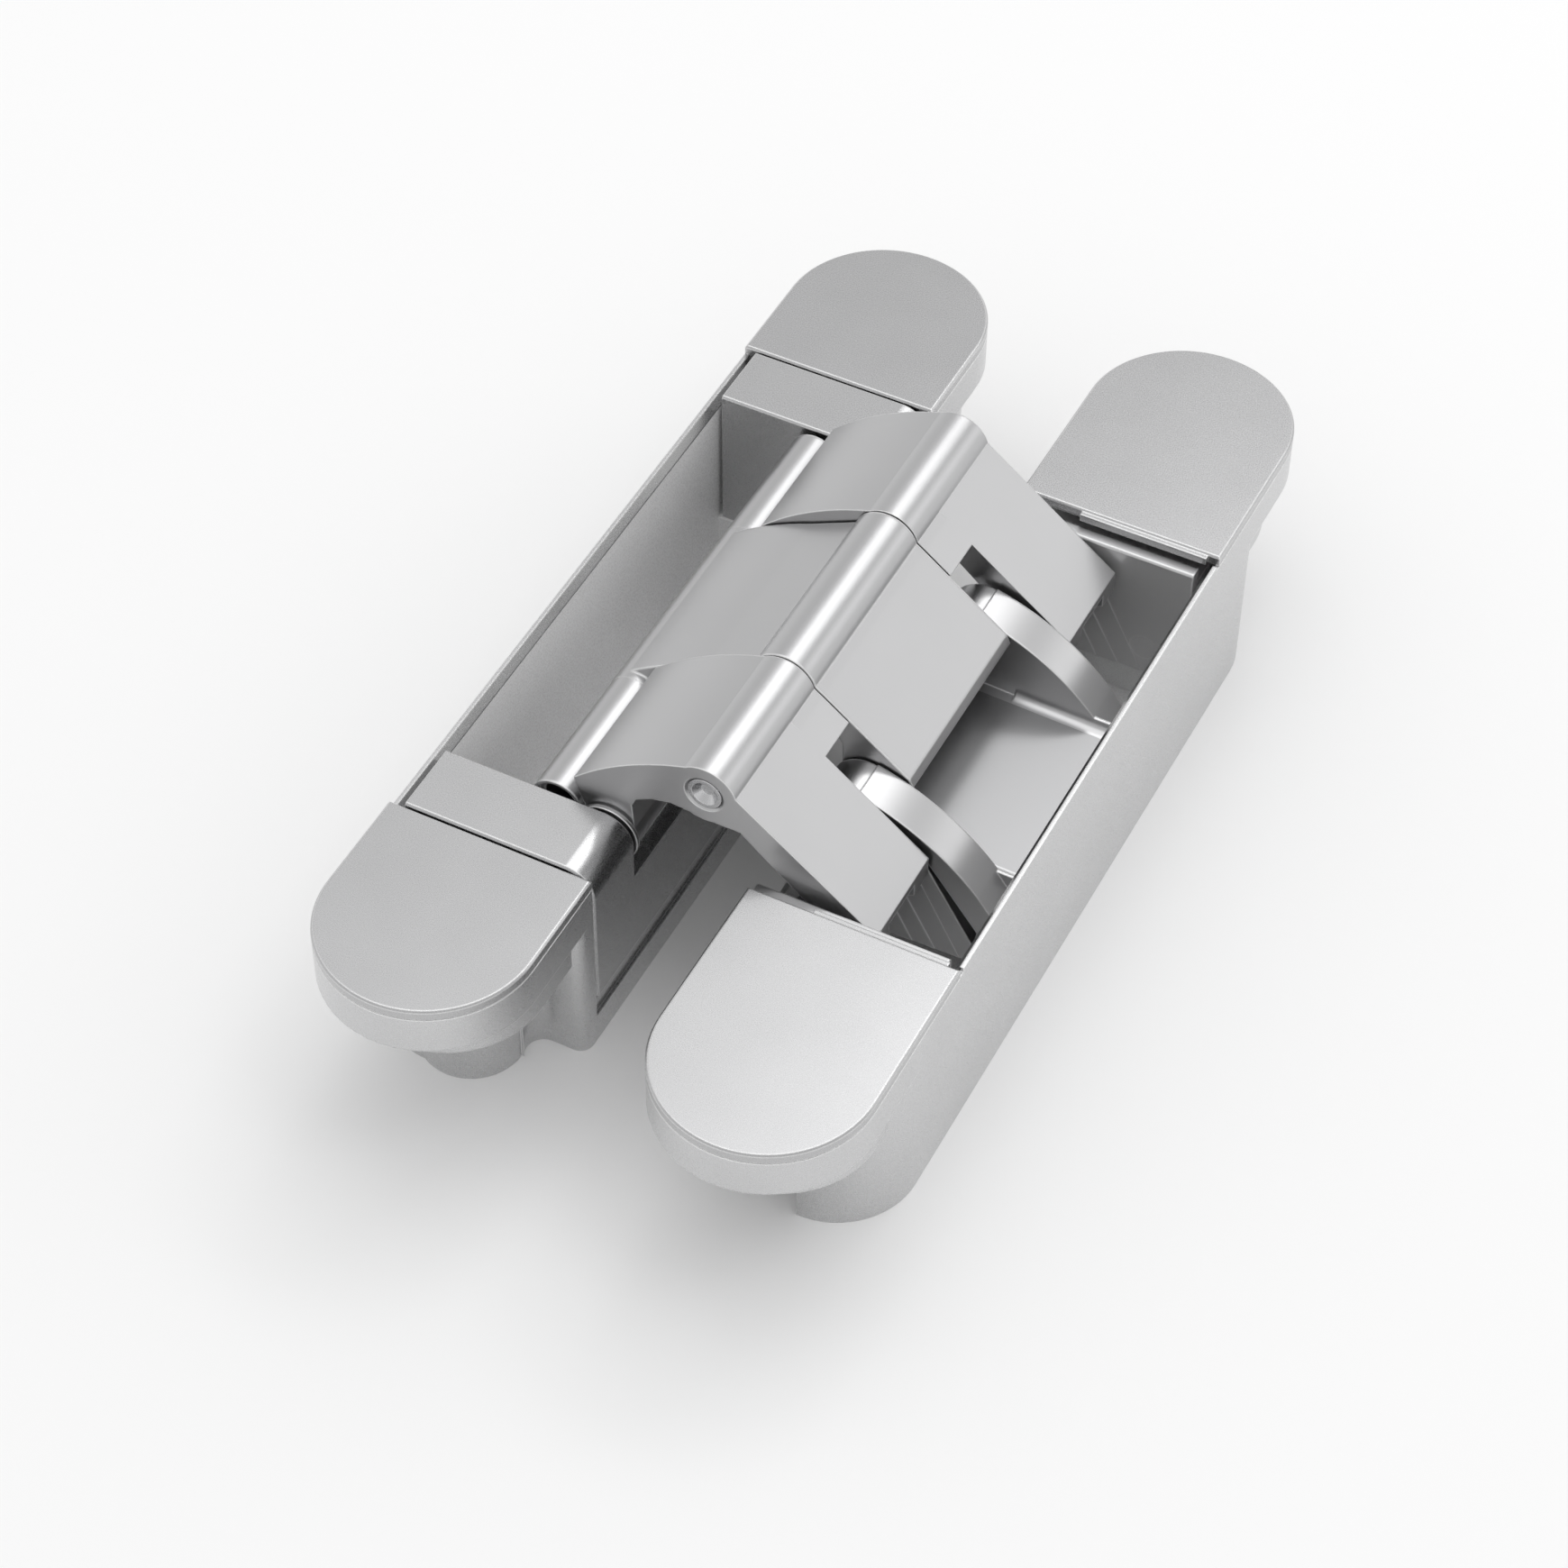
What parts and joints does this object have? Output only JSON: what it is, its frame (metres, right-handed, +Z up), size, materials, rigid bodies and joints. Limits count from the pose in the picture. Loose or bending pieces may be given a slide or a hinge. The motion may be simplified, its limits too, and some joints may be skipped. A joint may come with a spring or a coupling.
{
  "type": "concealed door hinge",
  "caption": "Concealed invisible door hinge, shown open flat: two mortise bodies joined by interlaced folding arms with rocker links.",
  "frame": {"origin": "centre of the bottom of the open hinge, on the surface it lies on", "axes": "+Z up out of the visible faces, +Y along the bodies and the pivot axes, +X from the left body to the right body"},
  "size_m": [0.078, 0.16, 0.0457],
  "materials": {
    "satin_body": "satin matt",
    "satin_cap": "satin matt",
    "satin_arm": "satin",
    "steel": "satin",
    "bush": "matt"
  },
  "bodies": {
    "left_body": {"left_housing": "satin_body", "left_cap_near": "satin_cap", "left_cap_far": "satin_cap", "left_carriage": "satin_body", "left_pivot_bushes": "bush", "left_anchor_pin": "steel", "left_carriage_screws": "steel"},
    "outer_arm": {"outer_arm": "satin_arm", "centre_pin": "steel", "left_pivot_pin": "steel", "right_link_pins": "steel"},
    "inner_arm": {"inner_arm": "satin_arm", "right_pivot_pin": "steel", "left_link_pin": "steel"},
    "left_link": {"left_link": "steel"},
    "right_link_near": {"right_link_near": "steel"},
    "right_link_far": {"right_link_far": "steel"},
    "right_core": {"right_carriage": "satin_body", "right_pivot_bushes": "bush", "right_anchor_pins": "steel"},
    "right_body": {"right_housing": "satin_body", "right_cap_near": "satin_cap", "right_cap_far": "satin_cap", "right_carriage_screws": "steel"}
  },
  "joints": [
    {"name": "fold", "type": "hinge", "parent": "left_body", "child": "outer_arm", "pos_m": [-0.0133, 0, 0.0274], "axis": [0, -1, 0], "range_deg": [0, 111.95]},
    {"name": "arm_crossing", "type": "hinge", "parent": "outer_arm", "child": "inner_arm", "pos_m": [0.0006, 0, 0.041], "axis": [0, -1, 0], "range_deg": [-48.16, 0]},
    {"name": "right_pivot", "type": "hinge", "parent": "inner_arm", "child": "right_core", "pos_m": [0.0133, 0, 0.0274], "axis": [0, -1, 0], "range_deg": [0, 116.21]},
    {"name": "left_rocker", "type": "hinge", "parent": "inner_arm", "child": "left_link", "pos_m": [-0.0213, 0, 0.0285], "axis": [0, -1, 0], "range_deg": [0, 48.26]},
    {"name": "right_rocker_near", "type": "hinge", "parent": "outer_arm", "child": "right_link_near", "pos_m": [0.0212, -0.0298, 0.0244], "axis": [0, -1, 0], "range_deg": [-42.97, 0]},
    {"name": "right_rocker_far", "type": "hinge", "parent": "outer_arm", "child": "right_link_far", "pos_m": [0.0212, 0.0298, 0.0244], "axis": [0, -1, 0], "range_deg": [-42.97, 0]},
    {"name": "height_adjust", "type": "slide", "parent": "right_core", "child": "right_body", "axis": [0, 1, 0], "range_m": [-0.002, 0.002]}
  ],
  "couplings": [
    {"joint": "arm_crossing", "follows": "fold", "ratio": -0.43009},
    {"joint": "right_pivot", "follows": "fold", "ratio": 1.038},
    {"joint": "left_rocker", "follows": "fold", "ratio": 0.43099},
    {"joint": "right_rocker_near", "follows": "fold", "ratio": -0.38374},
    {"joint": "right_rocker_far", "follows": "fold", "ratio": -0.38374}
  ]
}
